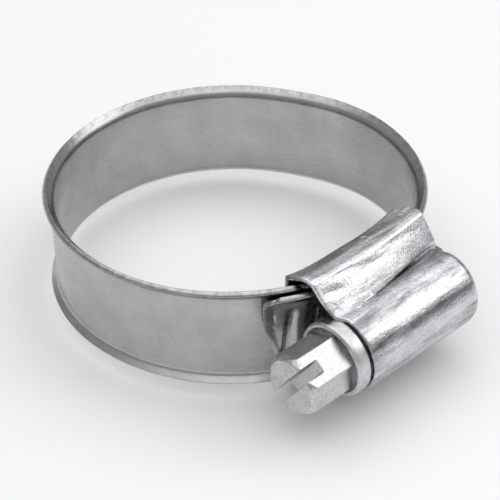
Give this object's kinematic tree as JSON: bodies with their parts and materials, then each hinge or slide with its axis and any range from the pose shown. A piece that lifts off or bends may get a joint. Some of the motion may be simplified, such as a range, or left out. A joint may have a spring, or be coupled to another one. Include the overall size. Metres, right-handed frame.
{
  "type": "hose clamp",
  "caption": "Worm-drive hose clip: a steel band ring with turned-up edges, a one-piece housing with saddle, and a slotted hexagon-head screw.",
  "frame": {"origin": "centre of the hose that the clip goes round, half way up the band", "axes": "+Z along the hose, -Y towards the housing, the screw lies along X with its head at -X"},
  "size_m": [0.0418, 0.0501, 0.0152],
  "materials": {
    "band_steel": "satin, zinc plated",
    "housing_steel": "bright zinc plated",
    "screw_steel": "bright zinc plated"
  },
  "bodies": {
    "housing": {"housing": "housing_steel", "band_fixed_end": "band_steel"},
    "screw": {"screw": "screw_steel"},
    "band_link_01": {"band_link_01": "band_steel"},
    "band_link_02": {"band_link_02": "band_steel"},
    "band_link_03": {"band_link_03": "band_steel"},
    "band_link_04": {"band_link_04": "band_steel"},
    "band_link_05": {"band_link_05": "band_steel"},
    "band_link_06": {"band_link_06": "band_steel"},
    "band_link_07": {"band_link_07": "band_steel"},
    "band_link_08": {"band_link_08": "band_steel"},
    "band_tail": {"band_tail": "band_steel"}
  },
  "joints": [
    {"name": "screw_turn", "type": "hinge", "parent": "housing", "child": "screw", "pos_m": [0, -0.0253, 0], "axis": [1, 0, 0], "range_deg": [-180, 1800]},
    {"name": "band_bend_01", "type": "hinge", "parent": "housing", "child": "band_link_01", "pos_m": [-0.0087, -0.01843, 0], "axis": [0, 0, 1], "range_deg": [-6.86, 0.69]},
    {"name": "band_bend_02", "type": "hinge", "parent": "band_link_01", "child": "band_link_02", "pos_m": [-0.01797, -0.00824, 0], "axis": [0, 0, 1], "range_deg": [-4.1, 0.41]},
    {"name": "band_bend_03", "type": "hinge", "parent": "band_link_02", "child": "band_link_03", "pos_m": [-0.01933, 0.00083, 0], "axis": [0, 0, 1], "range_deg": [-2.37, 0.24]},
    {"name": "band_bend_04", "type": "hinge", "parent": "band_link_03", "child": "band_link_04", "pos_m": [-0.01663, 0.0096, 0], "axis": [0, 0, 1], "range_deg": [-3.17, 0.32]},
    {"name": "band_bend_05", "type": "hinge", "parent": "band_link_04", "child": "band_link_05", "pos_m": [-0.00657, 0.01804, 0], "axis": [0, 0, 1], "range_deg": [-3.87, 0.39]},
    {"name": "band_bend_06", "type": "hinge", "parent": "band_link_05", "child": "band_link_06", "pos_m": [0.00657, 0.01804, 0], "axis": [0, 0, 1], "range_deg": [-3.18, 0.32]},
    {"name": "band_bend_07", "type": "hinge", "parent": "band_link_06", "child": "band_link_07", "pos_m": [0.01663, 0.0096, 0], "axis": [0, 0, 1], "range_deg": [-2.6, 0.26]},
    {"name": "band_bend_08", "type": "hinge", "parent": "band_link_07", "child": "band_link_08", "pos_m": [0.0192, 0.00401, 0], "axis": [0, 0, 1], "range_deg": [-3, 0.3]},
    {"name": "band_bend_09", "type": "hinge", "parent": "band_link_08", "child": "band_tail", "pos_m": [0.02, -0.00401, 0], "axis": [0, 0, 1], "range_deg": [-5.28, 0.53]}
  ],
  "couplings": [
    {"joint": "band_bend_01", "follows": "screw_turn", "ratio": -0.0038132},
    {"joint": "band_bend_02", "follows": "screw_turn", "ratio": -0.0022772},
    {"joint": "band_bend_03", "follows": "screw_turn", "ratio": -0.0013152},
    {"joint": "band_bend_04", "follows": "screw_turn", "ratio": -0.0017613},
    {"joint": "band_bend_05", "follows": "screw_turn", "ratio": -0.002152},
    {"joint": "band_bend_06", "follows": "screw_turn", "ratio": -0.0017687},
    {"joint": "band_bend_07", "follows": "screw_turn", "ratio": -0.0014424},
    {"joint": "band_bend_08", "follows": "screw_turn", "ratio": -0.0016649},
    {"joint": "band_bend_09", "follows": "screw_turn", "ratio": -0.0029342}
  ]
}
